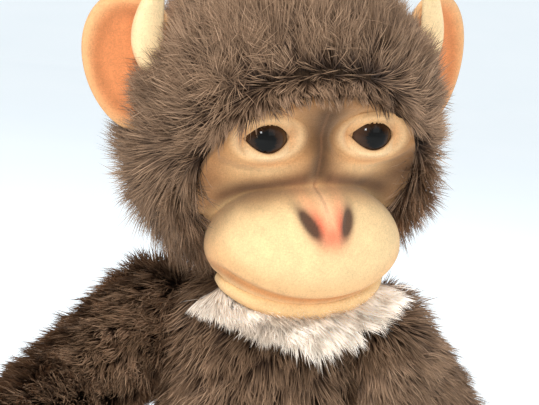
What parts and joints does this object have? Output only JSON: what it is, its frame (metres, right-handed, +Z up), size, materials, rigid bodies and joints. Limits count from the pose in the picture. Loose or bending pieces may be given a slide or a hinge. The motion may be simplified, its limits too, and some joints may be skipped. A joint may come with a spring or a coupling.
{
  "type": "jointed plush monkey",
  "caption": "Sitting brown mohair monkey with a tan felt face, ears, hands and feet, glass eyes and a white chin, turning at neck, shoulders and hips.",
  "frame": {"origin": "centre of the flat seat under the torso", "axes": "+Z up through the torso, chest towards -Y, the monkey's own left towards +X"},
  "size_m": [0.166, 0.1881, 0.2246],
  "materials": {
    "mohair_brown": "matte",
    "mohair_white": "matte",
    "felt_tan": "matte",
    "wood_wool": "matte",
    "fibreboard": "matte",
    "steel_wire": "satin",
    "eye_glass": "gloss"
  },
  "bodies": {
    "torso": {"torso_skin": "mohair_brown", "torso_stuffing": "wood_wool", "torso_discs": "fibreboard", "torso_washers": "steel_wire", "cotter_pins": "steel_wire"},
    "head": {"head_skin": "mohair_brown", "head_stuffing": "wood_wool", "face_mask": "felt_tan", "lower_lip": "felt_tan", "chin_beard": "mohair_white", "eye_left": "eye_glass", "eye_right": "eye_glass", "eye_shanks": "steel_wire", "eyelids": "felt_tan", "ear_left": "felt_tan", "ear_right": "felt_tan", "head_disc": "fibreboard", "head_washer": "steel_wire"},
    "arm_left": {"arm_left_skin": "mohair_brown", "arm_left_stuffing": "wood_wool", "hand_left": "felt_tan", "arm_left_disc": "fibreboard", "arm_left_washer": "steel_wire"},
    "arm_right": {"arm_right_skin": "mohair_brown", "arm_right_stuffing": "wood_wool", "hand_right": "felt_tan", "arm_right_disc": "fibreboard", "arm_right_washer": "steel_wire"},
    "leg_left": {"leg_left_skin": "mohair_brown", "leg_left_stuffing": "wood_wool", "foot_left": "felt_tan", "leg_left_disc": "fibreboard", "leg_left_washer": "steel_wire"},
    "leg_right": {"leg_right_skin": "mohair_brown", "leg_right_stuffing": "wood_wool", "foot_right": "felt_tan", "leg_right_disc": "fibreboard", "leg_right_washer": "steel_wire"}
  },
  "joints": [
    {"name": "neck_turn", "type": "hinge", "parent": "torso", "child": "head", "pos_m": [0, -0.006, 0.136], "axis": [0, -0.2079, 0.9781], "continuous": true},
    {"name": "arm_left_swing", "type": "hinge", "parent": "torso", "child": "arm_left", "pos_m": [0.027, 0, 0.1015], "axis": [-0.9511, 0, -0.309], "range_deg": [-42, 119]},
    {"name": "arm_right_swing", "type": "hinge", "parent": "torso", "child": "arm_right", "pos_m": [-0.027, 0, 0.1015], "axis": [-0.9511, 0, 0.309], "range_deg": [-150, 35]},
    {"name": "leg_left_swing", "type": "hinge", "parent": "torso", "child": "leg_left", "pos_m": [0.027, 0, 0.03], "axis": [-0.9976, -0.0698, 0], "range_deg": [-150, 12]},
    {"name": "leg_right_swing", "type": "hinge", "parent": "torso", "child": "leg_right", "pos_m": [-0.027, 0, 0.03], "axis": [-0.9976, 0.0698, 0], "range_deg": [-150, 12]}
  ]
}
